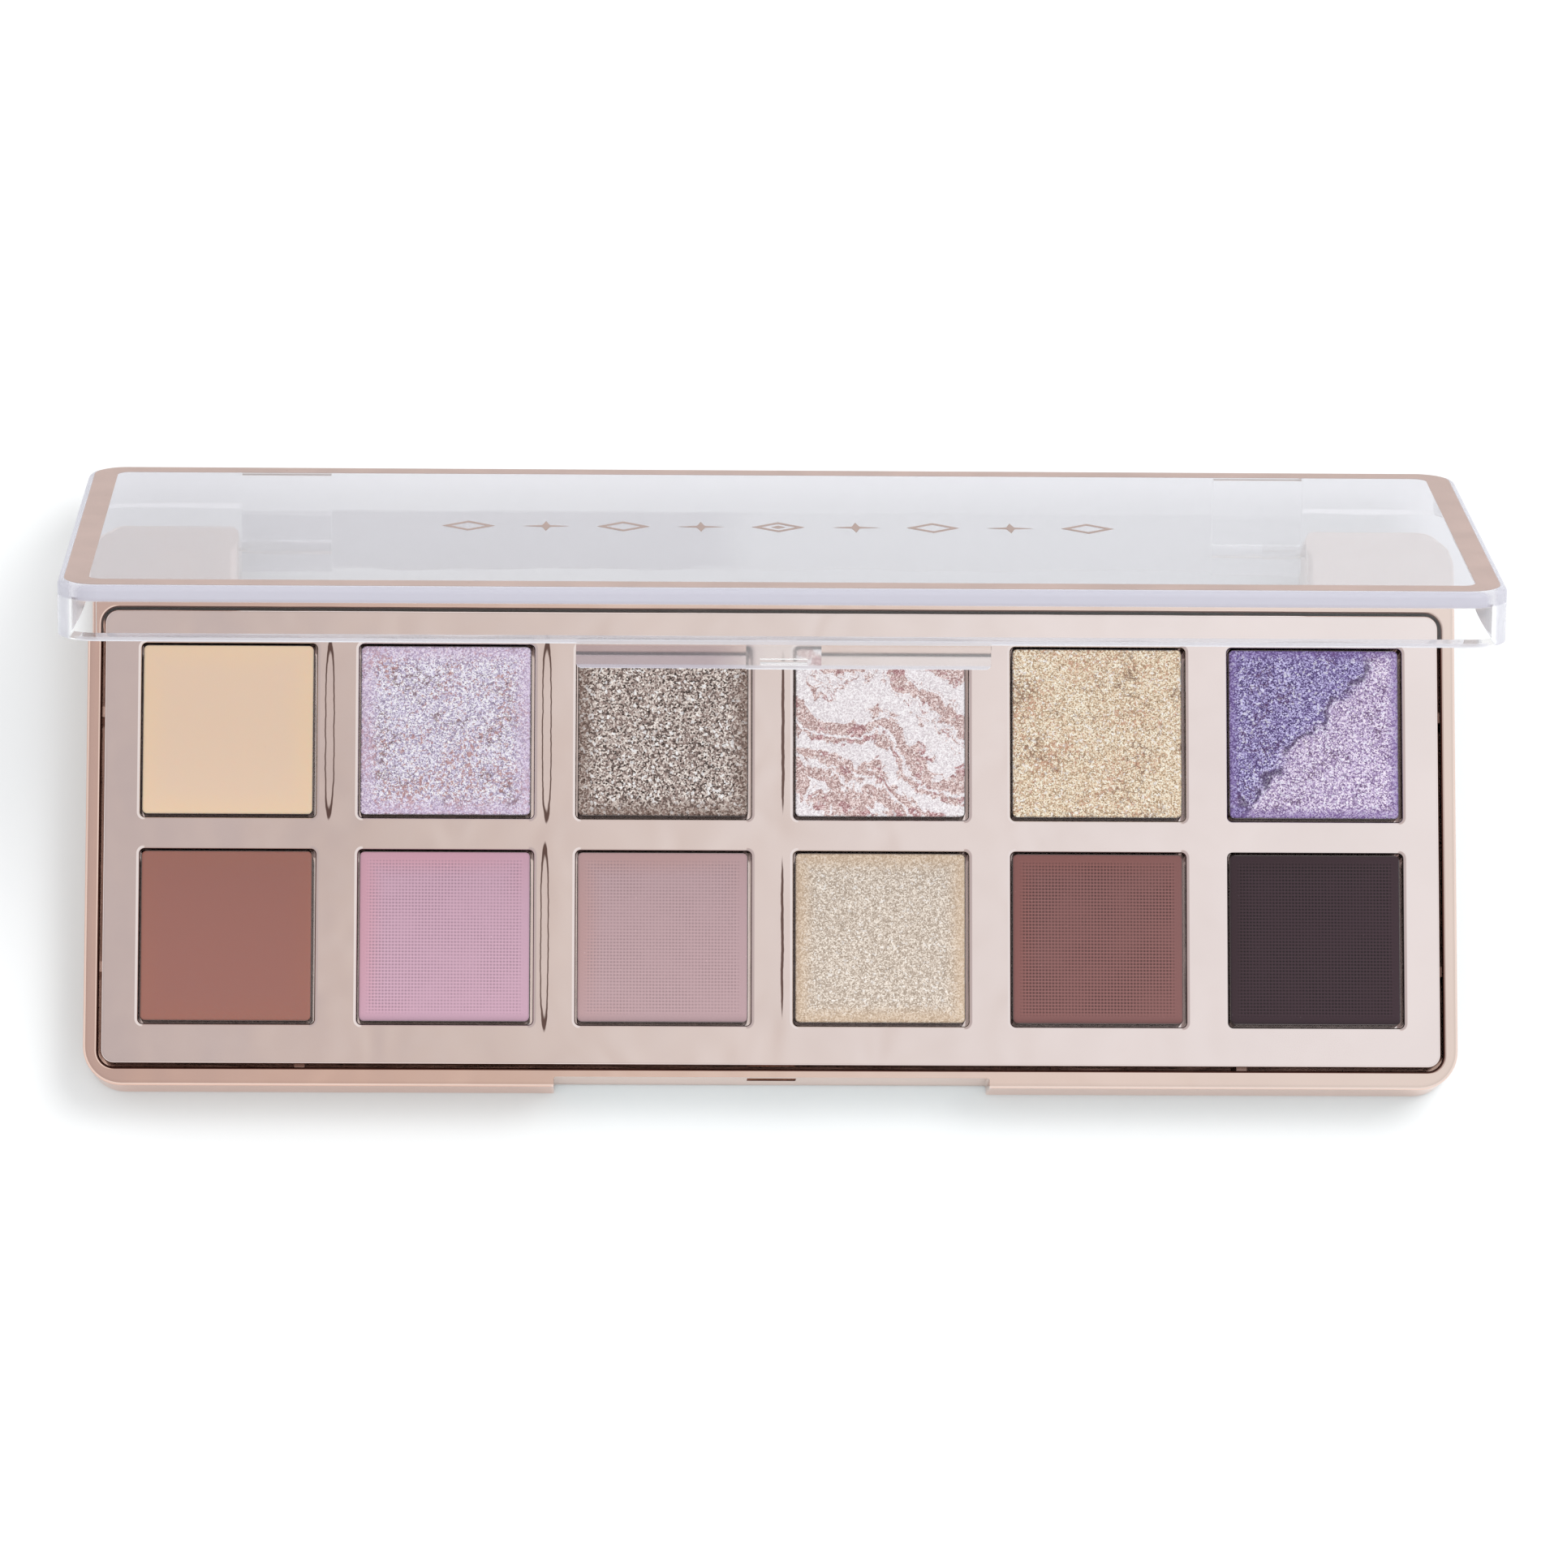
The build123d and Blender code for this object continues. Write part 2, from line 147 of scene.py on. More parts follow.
class Shader(Nodes):
    """A new material's node tree, with the point being shaded in millimetres."""

    def __init__(self, name):
        self.material = bpy.data.materials.new(name)
        self.material.use_nodes = True
        super().__init__(self.material.node_tree)
        place = self.node("ShaderNodeTexCoord").outputs["Object"]
        self.mm = self.vector("MULTIPLY", place, (1 / MM, 1 / MM, 1 / MM))

    def noise(self, scale, detail=3.0, roughness=0.5, distortion=0.0, place=None):
        """Noise whose scale is in features per millimetre."""
        return self.node("ShaderNodeTexNoise",
                         {"Vector": place or self.mm, "Scale": scale, "Detail": detail,
                          "Roughness": roughness, "Distortion": distortion})

    def cells(self, scale, feature="F1", place=None):
        """Voronoi cells whose scale is in cells per millimetre."""
        return self.node("ShaderNodeTexVoronoi",
                         {"Vector": place or self.mm, "Scale": scale}, feature=feature)

    def bump(self, height, distance, normal=None):
        """Bump from a height of 0 to 1 that stands for distance in millimetres."""
        inputs = {"Height": height, "Distance": distance * MM}
        if normal is not None:
            inputs["Normal"] = normal
        return self.node("ShaderNodeBump", inputs).outputs[0]

    def flakes(self, colour, tilt, normal):
        """Tips the normal by a different amount in each cell, as glitter flakes lie."""
        lean = self.vector("SUBTRACT", colour, (0.5, 0.5, 0.5))
        tipped = self.vector("ADD", normal, self.scaled(lean, tilt))
        return self.vector("NORMALIZE", tipped)

    def principled(self, **inputs):
        named = {key.replace("_", " "): value for key, value in inputs.items()}
        return self.node("ShaderNodeBsdfPrincipled", named).outputs[0]

    def done(self, surface):
        """Sends the surface to the output and hands back the finished material."""
        self.node("ShaderNodeOutputMaterial", {"Surface": surface})
        return self.material


def dimmed(colour, amount):
    """A colour times one number, with no channel past 1."""
    return tuple(min(1.0, amount * channel) for channel in colour)


def edge_distance(s, node):
    """Distance in millimetres inwards from a square node's sides, and x and y from its middle."""
    low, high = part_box(node)
    half = (high.x - low.x) / 2 / MM
    x, y, _ = s.parts(s.vector("SUBTRACT", s.mm, tuple(middle(node) / MM)))
    far = s.math("MAXIMUM", s.math("ABSOLUTE", x), s.math("ABSOLUTE", y))
    return s.math("SUBTRACT", half, far), x, y


# ---------------------------------------------------------------- hard parts' materials

# Upright metallised walls in the tray's finger recess, painted paler as a painted reflection, and
# inside the tray, painted dark as painted shade
RECESS_PAINTED_REFLECTION = (0.94, 0.81, 0.75)
INNER_PAINTED_SHADE = (0.12, 0.06, 0.05)

# Where those walls are, in millimetres: how deep from the tray's outside its inside starts,
# how far back from its front the recess can reach, and where, past the plate's rear edge,
# the middle of the wall behind the plate is
INNER_DEPTH = (1.3, 1.5)
RECESS_REACH = (3.0, 4.0)
REAR_WALL_MIDDLE = (1.0, 1.4)


def wall_tint(s, x, y, left, right):
    """The colour of an upright wall: a paler painted reflection in the finger recess, dark painted
    shade inside the tray, and painted light from left to right.
    """
    across = s.math("ABSOLUTE", x)
    side_depth = s.math("SUBTRACT", TRAY_HALF_WIDTH, across)
    front_depth = s.math("ADD", y, TRAY_HALF_DEPTH)
    past_plate = s.math("SUBTRACT", y, PLATE_REAR)
    recess = s.remap(across, RECESS_HALF_WIDTH, RECESS_HALF_WIDTH + 0.5, 1.0, 0.0)
    recess = s.math("MULTIPLY", recess, s.remap(front_depth, *RECESS_REACH, 1.0, 0.0))
    painted_inner_shade = s.remap(s.math("MINIMUM", side_depth, front_depth), *INNER_DEPTH)
    painted_inner_shade = s.math("MULTIPLY", painted_inner_shade, s.remap(past_plate, *REAR_WALL_MIDDLE, 1.0, 0.0))
    # Painted light: walls go from their left colour to their right colour across the tray
    tint = s.mix(s.remap(x, -45.0, 35.0), left, right)
    tint = s.mix(recess, tint, RECESS_PAINTED_REFLECTION)
    return s.mix(painted_inner_shade, tint, INNER_PAINTED_SHADE)


def metallised(name, colour, pale, graze, walls, reflection_loops=()):
    """Vacuum-metallised plastic with faint waves and dust, and painted light: a little paler to the
    right.
    """
    s = Shader(name)
    x, y, _ = s.parts(s.mm)
    # Painted light: the colour goes a little paler towards the right, where the studio is brighter
    painted_light_rightwards = s.remap(x, -70.0, 70.0, smooth=False)
    _, _, up = s.parts(s.node("ShaderNodeNewGeometry").outputs["True Normal"])
    upright = s.remap(s.math("ABSOLUTE", up), 0.2, 0.6, 1.0, 0.0)
    tint = s.mix(painted_light_rightwards, colour, pale)
    tint = s.mix(upright, tint, wall_tint(s, x, y, *walls))
    broad = s.noise(0.05, 2.0).outputs["Fac"]
    tint = s.mix(s.remap(broad, 0.3, 0.7, 0.0, 0.04), tint, (0.0, 0.0, 0.0))
    dust = s.remap(s.cells(0.9).outputs["Distance"], 0.0, 0.05, 1.0, 0.0)
    tint = s.mix(s.math("MULTIPLY", dust, 0.12), tint, (0.85, 0.8, 0.8))
    # Painted reflections: dark streaks in the plate's webs
    for reflection_loop in reflection_loops:
        tint = s.mix(s.math("MULTIPLY", painted_reflection_loop(s, *reflection_loop), 0.9), tint, PAINTED_REFLECTION_COLOUR)
    rough = s.remap(s.noise(0.35, 4.0).outputs["Fac"], 0.3, 0.75, 0.06, 0.11)
    normal = s.bump(s.noise(0.12, 1.0, distortion=0.4).outputs["Fac"], 0.05)
    normal = s.bump(s.noise(9.0, 2.0).outputs["Fac"], 0.0006, normal)
    return s.done(s.principled(Base_Color=tint, Metallic=1.0, Roughness=rough,
                               Specular_Tint=graze, Normal=normal))


# Painted reflections in the plate's webs, dark streaks that its mirror would show: web number
# from the left, row, offset across, half width, half length, and whether the streak is one solid
# streak. The others are long closed outlines, drawn with a line of MARK_LINE that wanders by
# MARK_WAVER.
PAINTED_REFLECTION_LOOPS = [(1, "rear", -0.93, 0.50, 9.9, False), (2, "rear", -1.0, 0.50, 10.2, False),
              (2, "front", -1.14, 0.44, 10.3, False), (3, "rear", 1.2, 0.19, 9.6, True),
              (3, "front", 1.15, 0.17, 9.4, True)]
PAINTED_REFLECTION_COLOUR = (0.085, 0.035, 0.025)
MARK_LINE = 0.1
MARK_WAVER = 0.25
WEB_IN_MIDDLE = 3


def painted_reflection_loop(s, web, row, across, half_width, half_length, solid):
    """1 on the line of a painted reflection streak, 0 elsewhere."""
    x, y, _ = s.parts(s.mm)
    waver = s.math("SUBTRACT", s.noise(0.5, 2.0).outputs["Fac"], 0.5)
    waver = s.math("MULTIPLY", waver, MARK_WAVER)
    centre = (web - WEB_IN_MIDDLE) * COLUMN_PITCH + across
    u = s.math("DIVIDE", s.math("ADD", s.math("SUBTRACT", x, centre), waver), half_width)
    v = s.math("DIVIDE", s.math("SUBTRACT", y, ROW_Y[row]), half_length)
    v_squared = s.math("MULTIPLY", v, v)
    shape = s.math("ADD", s.math("MULTIPLY", u, u), s.math("MULTIPLY", v_squared, v_squared))
    if solid:
        return s.remap(shape, 0.5, 1.2, 1.0, 0.0)
    line = 2 * MARK_LINE / half_width
    return s.remap(s.math("ABSOLUTE", s.math("SUBTRACT", shape, 1.0)), 0.4 * line, line, 1.0, 0.0)


# The lid, in millimetres from its hinge line as if it were closed: its front face, its top,
# its walls' foot, the thickness of its plate, and how far the tab hangs below the foot
LID_REACH = 62.65
LID_RISE = 10.45
LID_FOOT = 4.25
LID_PLATE = 1.7
TAB_DROP = 2.75

# Its plastic: tint of the walls, the plate, the plate's left end and the tab's left half (both
# darker, as painted shade), and the hazed edges, the tint of lamp light that comes through, and
# how hazed each place is
WALL_TINT = (1.0, 1.0, 1.0)
PLATE_TINT = (0.494, 0.472, 0.53)
PLATE_LEFT_PAINTED_SHADE = (0.42, 0.40, 0.465)
TAB_PAINTED_SHADE = (0.66, 0.615, 0.67)
EDGE_TINT = (0.485, 0.475, 0.55)
LAMP_TINT = (0.5, 0.5, 0.52)
EDGE_HAZE = 0.85
SIDE_HAZE = 0.75
TAB_HAZE = 0.13


def closed_lid_place(s):
    """X, Y and Z in millimetres on the lid as if it were closed, Y and Z from its hinge."""
    x, y, z = s.parts(s.vector("SUBTRACT", s.mm, (0.0, HINGE.y, HINGE.z)))
    turn_cos, turn_sin = math.cos(LID_OPEN), math.sin(LID_OPEN)
    along = s.math("SUBTRACT", s.math("MULTIPLY", y, turn_cos), s.math("MULTIPLY", z, turn_sin))
    up = s.math("ADD", s.math("MULTIPLY", y, turn_sin), s.math("MULTIPLY", z, turn_cos))
    return x, along, up


def lid_edge(s, x, along, up, tab):
    """1 where light runs along inside the lid's plate and walls to their edges, or 0."""
    front = s.remap(s.math("ADD", along, LID_REACH), 0.35, 0.9, 1.0, 0.0)
    inset = s.math("SUBTRACT", LID_HALF_WIDTH, s.math("ABSOLUTE", x))
    outer = s.math("MAXIMUM", front, s.remap(inset, 0.35, 0.9, 1.0, 0.0))
    high = s.remap(up, LID_RISE - LID_PLATE - 0.15, LID_RISE - LID_PLATE + 0.05)
    foot = s.math("ABSOLUTE", s.math("SUBTRACT", up, LID_FOOT + 0.2))
    tab_foot = s.math("ABSOLUTE", s.math("SUBTRACT", up, LID_FOOT - TAB_DROP + 0.15))
    low = s.remap(s.math("MINIMUM", foot, tab_foot), 0.15, 0.35, 0.6, 0.0)
    rims = s.math("MULTIPLY", outer, s.math("MAXIMUM", high, low))
    rims = s.math("MAXIMUM", rims, s.math("MULTIPLY", tab, TAB_HAZE))
    return s.math("MAXIMUM", rims, s.remap(inset, 1.2, 1.9, SIDE_HAZE, 0.0))


def clear_plastic(name):
    """Clear lid plastic, faintly hazed, with pale edges where light runs along inside it, and
    painted shade at its left.
    """
    s = Shader(name)
    x, along, up = closed_lid_place(s)
    tab = s.remap(up, LID_FOOT - 0.3, LID_FOOT - 0.1, 1.0, 0.0)
    edge = lid_edge(s, x, along, up, tab)
    # Painted shade: the tab's left half darker
    painted_tab_shade = s.math("MULTIPLY", tab, s.remap(x, -9.0, -1.0, 1.0, 0.0))
    wall_colour = s.mix(painted_tab_shade, WALL_TINT, TAB_PAINTED_SHADE)
    plate = s.remap(up, LID_RISE - LID_PLATE - 0.1, LID_RISE - LID_PLATE + 0.1)
    # Painted shade: the plate darker towards its left end
    plate_colour = s.mix(s.remap(x, -72.0, -42.0), PLATE_LEFT_PAINTED_SHADE, PLATE_TINT)
    tint = s.mix(edge, s.mix(plate, wall_colour, plate_colour), EDGE_TINT)
    smear = s.noise(0.06, 4.0, 0.6).outputs["Fac"]
    rough = s.math("ADD", s.remap(smear, 0.45, 0.8, 0.0, 0.05), s.math("MULTIPLY", edge, 0.3))
    normal = s.bump(s.noise(0.08, 1.0).outputs["Fac"], 0.02)
    clear = s.math("SUBTRACT", 1.0, s.math("MULTIPLY", edge, EDGE_HAZE))
    glass = s.principled(Base_Color=tint, Roughness=rough, IOR=1.5,
                         Transmission_Weight=clear, Normal=normal)
    lamp = s.node("ShaderNodeBsdfTransparent", {"Color": LAMP_TINT}).outputs[0]
    shadow = s.node("ShaderNodeLightPath").outputs["Is Shadow Ray"]
    return s.done(s.node("ShaderNodeMixShader", {0: shadow, 1: glass, 2: lamp}).outputs[0])


# Foil, from its duller to its brighter patches, and the plastic that shows in its voids
FOIL_DULL = (0.50, 0.42, 0.405)
FOIL_BRIGHT = (0.57, 0.475, 0.455)
FOIL_VOID = (0.30, 0.22, 0.20)


def foil(name, depth=1.0):
    """Hot-stamped satin foil with a fine grain and small voids."""
    s = Shader(name)
    grain = s.noise(14.0, 3.0).outputs["Fac"]
    cloud = s.noise(0.15, 3.0).outputs["Fac"]
    tint = s.ramp(cloud, [(0.3, dimmed(FOIL_DULL, depth)), (0.7, dimmed(FOIL_BRIGHT, depth))])
    void = s.remap(s.cells(0.35).outputs["Distance"], 0.02, 0.06, 1.0, 0.0)
    tint = s.mix(s.math("MULTIPLY", void, 0.6), tint, FOIL_VOID)
    rough = s.remap(grain, 0.3, 0.7, 0.28, 0.42)
    return s.done(s.principled(Base_Color=tint, Metallic=1.0, Roughness=rough,
                               Specular_Tint=(0.85, 0.72, 0.66), Normal=s.bump(grain, 0.002)))


def steel(name, colour, grain_stretch):
    """Bright metal with fine drawn lines."""
    s = Shader(name)
    stretched = s.vector("MULTIPLY", s.mm, grain_stretch)
    lines = s.noise(1.0, 4.0, 0.6, place=stretched).outputs["Fac"]
    tint = s.mix(lines, colour, dimmed(colour, 0.75))
    rough = s.remap(lines, 0.3, 0.7, 0.16, 0.32)
    normal = s.bump(lines, 0.003)
    return s.done(s.principled(Base_Color=tint, Metallic=1.0, Roughness=rough, Normal=normal))


def hot_glue(name):
    """Milky hot-melt adhesive."""
    s = Shader(name)
    haze = s.noise(0.8, 3.0).outputs["Fac"]
    tint = s.ramp(haze, [(0.3, (0.80, 0.76, 0.66)), (0.7, (0.88, 0.85, 0.78))])
    normal = s.bump(haze, 0.03)
    return s.done(s.principled(Base_Color=tint, Roughness=0.45, Normal=normal))


# ---------------------------------------------------------------- powders and creams

def cream(name, node, colour, edge_colour):
    """Smooth poured cream: soft gloss, with a deeper tone where it meets the pan, and dark dots of
    painted shade for tiny pits.
    """
    s = Shader(name)
    distance, _, _ = edge_distance(s, node)
    cloud = s.noise(0.12, 2.0).outputs["Fac"]
    edge = s.remap(s.math("ADD", distance, s.math("MULTIPLY", cloud, 2.5)), 0.6, 5.0, 1.0, 0.0)
    tint = s.mix(edge, colour, edge_colour)
    # Painted shade: tiny pits drawn as dark dots
    painted_pit_shade = s.remap(s.cells(0.16).outputs["Distance"], 0.0, 0.02, 1.0, 0.0)
    tint = s.mix(s.math("MULTIPLY", painted_pit_shade, 0.5), tint, dimmed(colour, 0.5))
    rough = s.remap(s.noise(0.5, 3.0).outputs["Fac"], 0.3, 0.7, 0.36, 0.46)
    normal = s.bump(s.noise(0.22, 2.0).outputs["Fac"], 0.03)
    normal = s.bump(s.noise(6.0, 2.0).outputs["Fac"], 0.001, normal)
    return s.done(s.principled(Base_Color=tint, Roughness=rough, Specular_IOR_Level=0.4,
                               Subsurface_Weight=0.15, Subsurface_Scale=0.001,
                               Normal=normal))


# The press cloth's weave: its pitch in millimetres, and its mean height from 0 to 1
WEAVE_PITCH = 0.38
WEAVE_MEAN = 0.3
WEAVE_SWING = 0.19


def weave_height(s, x, y, depth):
    """Height of the cloth's print, which keeps to its mean where depth is 0."""
    turn = 2 * math.pi / WEAVE_PITCH
    rows = s.math("SINE", s.math("MULTIPLY", y, turn))
    threads = s.math("SINE", s.math("MULTIPLY", x, turn))
    woven = s.math("MULTIPLY", s.math("ADD", rows, 1.0), s.math("ADD", threads, 1.6))
    woven = s.math("SUBTRACT", s.math("MULTIPLY", woven, WEAVE_SWING), WEAVE_MEAN)
    return s.math("ADD", s.math("MULTIPLY", woven, depth), WEAVE_MEAN)


def matte(name, node, colour, edge_colour, weave=1.0):
    """Pressed matte powder with the fine weave that the press cloth leaves, painted light on its
    upper-left edges, and painted shade on its front edge and in the weave's grooves.
    """
    s = Shader(name)
    distance, x, y = edge_distance(s, node)
    patchy = s.remap(s.noise(0.25, 3.0).outputs["Fac"], 0.3, 0.65, 0.6, 1.0)
    height = weave_height(s, x, y, s.math("MULTIPLY", s.remap(distance, 0.4, 1.3), patchy))
    grain = s.noise(7.0, 4.0, 0.7).outputs["Fac"]
    # Painted light: edge_colour on the upper-left edges, the side of the rounded edge that faces
    # the light
    upper_left = s.remap(s.math("SUBTRACT", y, x), -8.0, 10.0)
    painted_lit_edge = s.math("MULTIPLY", s.remap(distance, 0.2, 3.2, 1.0, 0.0), upper_left)
    tint = s.mix(painted_lit_edge, colour, edge_colour)
    # Painted shade: darker along the front edge, where the rounded edge turns from the light
    tint = s.mix(s.remap(y, -9.9, -8.9, 0.5, 0.0), tint, dimmed(colour, 0.6))
    # Painted shade in the weave's grooves, beside its bump
    tint = s.mix(s.math("MULTIPLY", height, 0.9), tint, dimmed(colour, 1 - 0.4 * weave))
    tint = s.mix(s.remap(grain, 0.35, 0.7, 0.0, 0.22), tint, dimmed(colour, 0.72))
    speck = s.remap(s.cells(0.55).outputs["Distance"], 0.02, 0.06, 1.0, 0.0)
    speck_colour = tuple(min(1.0, 1.4 * channel + 0.05) for channel in colour)
    tint = s.mix(s.math("MULTIPLY", speck, 0.3), tint, speck_colour)
    normal = s.bump(s.math("SUBTRACT", 1.0, height), 0.07 * weave)
    normal = s.bump(grain, 0.02, normal)
    return s.done(s.principled(Base_Color=tint, Roughness=0.85, Specular_IOR_Level=0.25,
                               Sheen_Weight=0.15, Sheen_Roughness=0.5, Normal=normal))


def sparkle(s, size, tilt, relief):
    """Two random numbers for each flake, a normal tilted flake by flake, and rare painted glints.
    """
    flake = s.cells(1 / size)
    lumps = s.noise(1.6, 4.0, 0.65).outputs["Fac"]
    normal = s.bump(lumps, relief)
    normal = s.flakes(flake.outputs["Color"], tilt, normal)
    seed, second, _ = s.parts(flake.outputs["Color"])
    bright, _, _ = s.parts(s.cells(0.55 / size).outputs["Color"])
    painted_glint = s.remap(bright, 0.90, 0.94)
    return seed, second, normal, painted_glint


def cracks(s):
    """1 in fine dry cracks that run in patches over a pressed powder, 0 elsewhere."""
    bend = s.vector("SUBTRACT", s.noise(1.1, 2.0).outputs["Color"], (0.5, 0.5, 0.5))
    crooked = s.vector("ADD", s.mm, s.scaled(bend, 1.6))
    gap = s.cells(0.8, feature="DISTANCE_TO_EDGE", place=crooked).outputs["Distance"]
    patch = s.remap(s.noise(0.33, 3.0).outputs["Fac"], 0.50, 0.60)
    return s.math("MULTIPLY", s.remap(gap, 0.02, 0.07, 1.0, 0.0), patch)


def glitter(name, node, stops, flecks, fleck_colour, size=0.13, tilt=0.8, relief=0.04,
            metal=0.5, edge_colour=None, glints=0.6):
    """Pressed glitter: random bright and dull flakes, with clumps of bare binder showing, rare
    painted glints, and painted shade in its cracks.
    """
    s = Shader(name)
    seed, second, normal, painted_glint = sparkle(s, size, tilt, relief)
    tint = s.ramp(seed, stops)
    # Painted glints: rare flakes painted white
    tint = s.mix(s.math("MULTIPLY", painted_glint, glints), tint, (1.0, 1.0, 1.0))
    if flecks:
        clump = s.noise(2.4, 5.0, 0.66, distortion=0.8).outputs["Fac"]
        drift = s.noise(0.2, 2.0).outputs["Fac"]
        bare = s.math("ADD", clump, s.math("MULTIPLY", s.math("SUBTRACT", drift, 0.5), 0.32))
        amount = s.remap(bare, 1 - flecks, 1.035 - flecks, 0.0, 0.85)
        tint = s.mix(amount, tint, fleck_colour)
        # Painted shade in the fine cracks
        painted_crack_shade = s.math("MULTIPLY", cracks(s), 0.7)
        tint = s.mix(painted_crack_shade, tint, dimmed(fleck_colour, 0.4))
    # A band of edge_colour along the sides: on the taupe a dark brown, painted shade on its rounded
    # edges; on the lilac a pinker tint and on the ivory a warmer one
    if edge_colour:
        distance, _, _ = edge_distance(s, node)
        tint = s.mix(s.remap(distance, 0.1, 2.5, 0.55, 0.0), tint, edge_colour)
    rough = s.remap(second, 0.0, 1.0, 0.22, 0.5)
    return s.done(s.principled(Base_Color=tint, Metallic=metal, Roughness=rough,
                               Normal=normal))


def marbled(name, node):
    """Two glittering powders swirled together: white, and a rosy bronze."""
    s = Shader(name)
    seed, second, normal, painted_glint = sparkle(s, 0.13, 0.6, 0.05)
    white = s.ramp(seed, [(0.0, (0.72, 0.67, 0.70)), (0.5, (0.86, 0.80, 0.83)),
                          (1.0, (1.0, 0.98, 0.99))])
    bronze = s.ramp(seed, [(0.0, (0.34, 0.21, 0.20)), (0.5, (0.60, 0.43, 0.41)),
                           (1.0, (0.96, 0.82, 0.80))])
    rose = s.ramp(seed, [(0.0, (0.30, 0.14, 0.15)), (0.6, (0.50, 0.28, 0.29)),
                         (1.0, (0.86, 0.66, 0.66))])
    _, x, y = edge_distance(s, node)
    bend = s.math("SUBTRACT", s.noise(0.11, 1.0).outputs["Fac"], 0.5)
    fray = s.math("SUBTRACT", s.noise(0.42, 5.0, 0.62, distortion=1.2).outputs["Fac"], 0.5)
    lie = s.math("ADD", s.math("MULTIPLY", x, 0.42), s.math("MULTIPLY", y, 0.86))
    lie = s.math("ADD", lie, s.math("MULTIPLY", bend, 13.0))
    band = s.math("SINE", s.math("ADD", lie, s.math("MULTIPLY", fray, 7.0)))
    thread = s.math("SINE", s.math("ADD", s.math("MULTIPLY", lie, 2.3),
                                   s.math("MULTIPLY", fray, 11.0)))
    swirl = s.math("MAXIMUM", s.remap(band, 0.12, 0.38), s.remap(thread, 0.72, 0.92))
    tint = s.mix(s.remap(s.noise(0.5, 4.0, 0.6).outputs["Fac"], 0.54, 0.62), bronze, rose)
    tint = s.mix(swirl, tint, white)
    # Painted glints: rare flakes painted near white
    tint = s.mix(s.math("MULTIPLY", painted_glint, 0.5), tint, (1.0, 0.98, 0.98))
    rough = s.remap(second, 0.0, 1.0, 0.25, 0.55)
    return s.done(s.principled(Base_Color=tint, Metallic=0.3, Roughness=rough, Normal=normal))


def duochrome(name, node):
    """Two glitters pressed side by side, blue-violet and lilac-pink, met on a diagonal."""
    s = Shader(name)
    seed, second, normal, painted_glint = sparkle(s, 0.13, 0.8, 0.05)
    blue = s.ramp(seed, [(0.0, (0.055, 0.038, 0.14)), (0.5, (0.22, 0.168, 0.41)),
                         (1.0, (0.70, 0.67, 0.97))])
    pink = s.ramp(seed, [(0.0, (0.19, 0.12, 0.28)), (0.5, (0.49, 0.385, 0.62)),
                         (1.0, (0.98, 0.91, 1.0))])
    distance, x, y = edge_distance(s, node)
    wander = s.math("SUBTRACT", s.noise(0.3, 4.0, 0.55).outputs["Fac"], 0.5)
    side = s.math("SUBTRACT", y, s.math("MULTIPLY", x, 1.15))
    side = s.math("ADD", s.math("SUBTRACT", side, 0.7), s.math("MULTIPLY", wander, 11.0))
    tint = s.mix(s.remap(side, -1.8, 2.2), pink, blue)
    # Painted glints: rare flakes painted a bluish white
    tint = s.mix(s.math("MULTIPLY", painted_glint, 0.65), tint, (0.86, 0.86, 1.0))
    # Painted shade: a dark crack along the seam between the two glitters, and in the fine cracks
    seam = s.remap(s.math("ABSOLUTE", s.math("SUBTRACT", side, 0.4)), 0.2, 1.0, 1.0, 0.0)
    painted_seam_shade = s.math("MULTIPLY", seam, s.remap(s.noise(0.9, 4.0, 0.6).outputs["Fac"], 0.42, 0.52))
    tint = s.mix(s.math("MULTIPLY", painted_seam_shade, 0.75), tint, (0.06, 0.035, 0.10))
    tint = s.mix(s.math("MULTIPLY", cracks(s), 0.75), tint, (0.10, 0.04, 0.12))
    tint = s.mix(s.remap(distance, 0.1, 1.4, 0.55, 0.0), tint, (0.22, 0.14, 0.40))
    rough = s.remap(second, 0.0, 1.0, 0.2, 0.5)
    return s.done(s.principled(Base_Color=tint, Metallic=0.5, Roughness=rough, Normal=normal))


# ---------------------------------------------------------------- cakes of powder and cream

# Points along a cake's side, how far it spreads past its pan's opening, how far its lumps
# and its edge stand over the plain filling, how steeply its edge rounds off, and the radius
# of its corners, in millimetres
CAKE_CELLS = 136
CAKE_OVERLAP = 0.12
HIGHEST_LUMP = 0.33
RIM_RISE = 0.07
EDGE_FALL = 0.22
CAKE_CORNER = 0.5


NOISE_TABLE = 256
NOISE_OFFSET = 40


def value_noise(x, y, cell, seed):
    """Smooth seeded noise from 0 to 1 on points in millimetres."""
    size = NOISE_TABLE
    table = np.random.default_rng(seed).random((size, size))
    gx, gy = x / cell, y / cell
    ix, iy = np.floor(gx).astype(int), np.floor(gy).astype(int)
    fx, fy = gx - ix, gy - iy
    fx, fy = fx * fx * (3 - 2 * fx), fy * fy * (3 - 2 * fy)
    ix, iy = ix % size, iy % size
    jx, jy = (ix + 1) % size, (iy + 1) % size
    low = table[iy, ix] * (1 - fx) + table[iy, jx] * fx
    high = table[jy, ix] * (1 - fx) + table[jy, jx] * fx
    return low * (1 - fy) + high * fy


